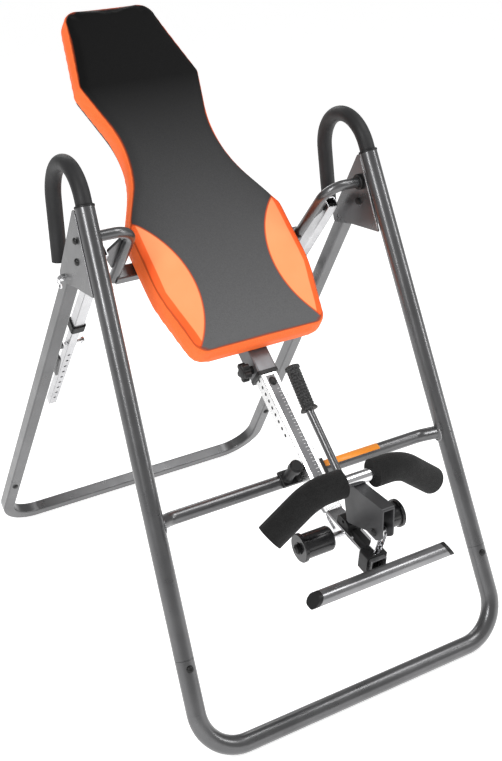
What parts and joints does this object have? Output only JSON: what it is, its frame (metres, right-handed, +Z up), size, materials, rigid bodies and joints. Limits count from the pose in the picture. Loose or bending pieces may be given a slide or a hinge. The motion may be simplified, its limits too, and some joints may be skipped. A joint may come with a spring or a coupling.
{
  "type": "inversion table",
  "caption": "Folding A-frame with a tilting padded bed, telescoping height tube, ankle rollers and pads, clamp lever, sliding foot bar and looped foam handles",
  "frame": {"origin": "on the floor under the middle of the bounding box, at rest with the bed against its rest", "axes": "+X to the right along the base bars, +Y to the rear where the backrest leans, +Z up"},
  "size_m": [0.7938, 1.2981, 1.3277],
  "materials": {
    "frame_paint": "satin",
    "box_paint": "satin",
    "bolt_steel": "satin",
    "strut_steel": "satin",
    "chrome": "gloss",
    "slide_steel": "gloss",
    "foot_bar_metal": "gloss",
    "black_plastic": "matte",
    "bumper_rubber": "matte",
    "grip_foam": "matte",
    "lever_rubber": "matte",
    "roller_plastic": "gloss",
    "lever_paint": "satin",
    "vinyl": "satin",
    "board_wood": "matte"
  },
  "bodies": {
    "front_frame": {"front_base_tube": "frame_paint", "front_legs": "frame_paint", "leg_joint_sleeves": "frame_paint", "front_joint_bolts": "bolt_steel", "crossbar": "frame_paint", "rest_saddle": "black_plastic", "rest_bumper": "bumper_rubber", "rest_post": "black_plastic", "side_brackets": "frame_paint", "fold_bolts": "bolt_steel", "pivot_bushings": "black_plastic", "handle_tubes": "frame_paint", "foam_grips": "grip_foam", "handle_collars": "black_plastic"},
    "lock_pin_left": {"lock_pin_left": "chrome"},
    "lock_pin_right": {"lock_pin_right": "chrome"},
    "rear_frame": {"rear_base_tube": "frame_paint", "rear_legs": "frame_paint", "rear_joint_bolts": "bolt_steel", "rear_hinge_lugs": "frame_paint", "strut_anchors": "frame_paint"},
    "bed": {"pivot_arms": "frame_paint", "pivot_bolts": "bolt_steel", "bed_cross_tubes": "frame_paint", "bed_main_tube": "box_paint", "box_end_collar": "black_plastic", "backrest_board": "board_wood", "backrest_cushion": "vinyl", "strut_tabs": "frame_paint", "strut_pins": "bolt_steel"},
    "height_knob": {"height_knob": "black_plastic"},
    "height_slide": {"height_tube": "slide_steel", "foot_tube": "chrome", "knee_gussets": "chrome", "ankle_axle": "chrome", "axle_nuts": "bolt_steel", "clamp_posts": "chrome", "clamp_block": "black_plastic", "stop_rail": "black_plastic", "lever_pivot_bolt": "bolt_steel", "foot_tube_collar": "black_plastic"},
    "roller_left": {"ankle_roller_left": "roller_plastic"},
    "roller_right": {"ankle_roller_right": "roller_plastic"},
    "ankle_lever": {"lever_bracket": "lever_paint", "lever_tube": "lever_paint", "lever_grip": "lever_rubber", "pad_tube": "chrome", "front_pads": "grip_foam"},
    "foot_bar": {"foot_bar": "foot_bar_metal", "foot_bar_caps": "black_plastic", "foot_bar_stem": "foot_bar_metal"},
    "foot_bar_pin": {"foot_bar_pin": "chrome"},
    "strut_tube_left": {"strut_tube_left": "strut_steel", "strut_collar_left": "black_plastic"},
    "strut_tube_right": {"strut_tube_right": "strut_steel", "strut_collar_right": "black_plastic"},
    "strut_bar_left": {"strut_bar_left": "strut_steel"},
    "strut_bar_right": {"strut_bar_right": "strut_steel"},
    "strut_pull_left": {"strut_pin_handle_left": "chrome"},
    "strut_pull_right": {"strut_pin_handle_right": "chrome"}
  },
  "joints": [
    {"name": "fold", "type": "hinge", "parent": "front_frame", "child": "rear_frame", "pos_m": [0, -0.1345, 0.917], "axis": [-1, 0, 0], "range_deg": [0, 50]},
    {"name": "bed_tilt", "type": "hinge", "parent": "front_frame", "child": "bed", "pos_m": [0, -0.1415, 0.96], "axis": [-1, 0, 0], "range_deg": [0, 100]},
    {"name": "height_adjust", "type": "slide", "parent": "bed", "child": "height_slide", "axis": [0, 0.7242, 0.6896], "range_m": [-0.1, 0.08]},
    {"name": "roller_spin_left", "type": "hinge", "parent": "height_slide", "child": "roller_left", "pos_m": [0, -0.51511, 0.3892], "axis": [1, 0, 0], "continuous": true},
    {"name": "roller_spin_right", "type": "hinge", "parent": "height_slide", "child": "roller_right", "pos_m": [0, -0.51511, 0.3892], "axis": [1, 0, 0], "continuous": true},
    {"name": "ankle_clamp", "type": "hinge", "parent": "height_slide", "child": "ankle_lever", "pos_m": [0, -0.61855, 0.43826], "axis": [1, 0, 0], "range_deg": [0, 30]},
    {"name": "foot_bar_slide", "type": "slide", "parent": "height_slide", "child": "foot_bar", "axis": [0, -0.972, -0.2351], "range_m": [0, 0.04]},
    {"name": "foot_bar_pin_pull", "type": "slide", "parent": "height_slide", "child": "foot_bar_pin", "axis": [0, -0.2351, 0.972], "range_m": [0, 0.012], "stiffness_N_per_m": 400},
    {"name": "height_knob_pull", "type": "slide", "parent": "bed", "child": "height_knob", "axis": [-1, 0, 0], "range_m": [0, 0.01], "stiffness_N_per_m": 400},
    {"name": "lock_pull_left", "type": "slide", "parent": "front_frame", "child": "lock_pin_left", "axis": [-1, 0, 0], "range_m": [0, 0.012], "stiffness_N_per_m": 400},
    {"name": "lock_pull_right", "type": "slide", "parent": "front_frame", "child": "lock_pin_right", "axis": [1, 0, 0], "range_m": [0, 0.012], "stiffness_N_per_m": 400},
    {"name": "strut_swing_left", "type": "hinge", "parent": "bed", "child": "strut_tube_left", "pos_m": [-0.272, -0.06657, 0.90017], "axis": [1, 0, 0], "range_deg": [0, 117]},
    {"name": "strut_slide_left", "type": "slide", "parent": "strut_tube_left", "child": "strut_bar_left", "axis": [0, 0.7002, -0.714], "range_m": [0, 0.096]},
    {"name": "strut_pull_left", "type": "slide", "parent": "strut_bar_left", "child": "strut_pull_left", "axis": [1, 0, 0], "range_m": [0, 0.012], "stiffness_N_per_m": 400},
    {"name": "strut_swing_right", "type": "hinge", "parent": "bed", "child": "strut_tube_right", "pos_m": [0.272, -0.06657, 0.90017], "axis": [1, 0, 0], "range_deg": [0, 117]},
    {"name": "strut_slide_right", "type": "slide", "parent": "strut_tube_right", "child": "strut_bar_right", "axis": [0, 0.7002, -0.714], "range_m": [0, 0.096]},
    {"name": "strut_pull_right", "type": "slide", "parent": "strut_bar_right", "child": "strut_pull_right", "axis": [-1, 0, 0], "range_m": [0, 0.012], "stiffness_N_per_m": 400}
  ],
  "couplings": [
    {"joint": "strut_swing_left", "follows": "bed_tilt", "ratio": 1.16},
    {"joint": "strut_slide_left", "follows": "bed_tilt", "m_per_rad": 0.0539},
    {"joint": "strut_swing_right", "follows": "bed_tilt", "ratio": 1.16},
    {"joint": "strut_slide_right", "follows": "bed_tilt", "m_per_rad": 0.0539}
  ]
}
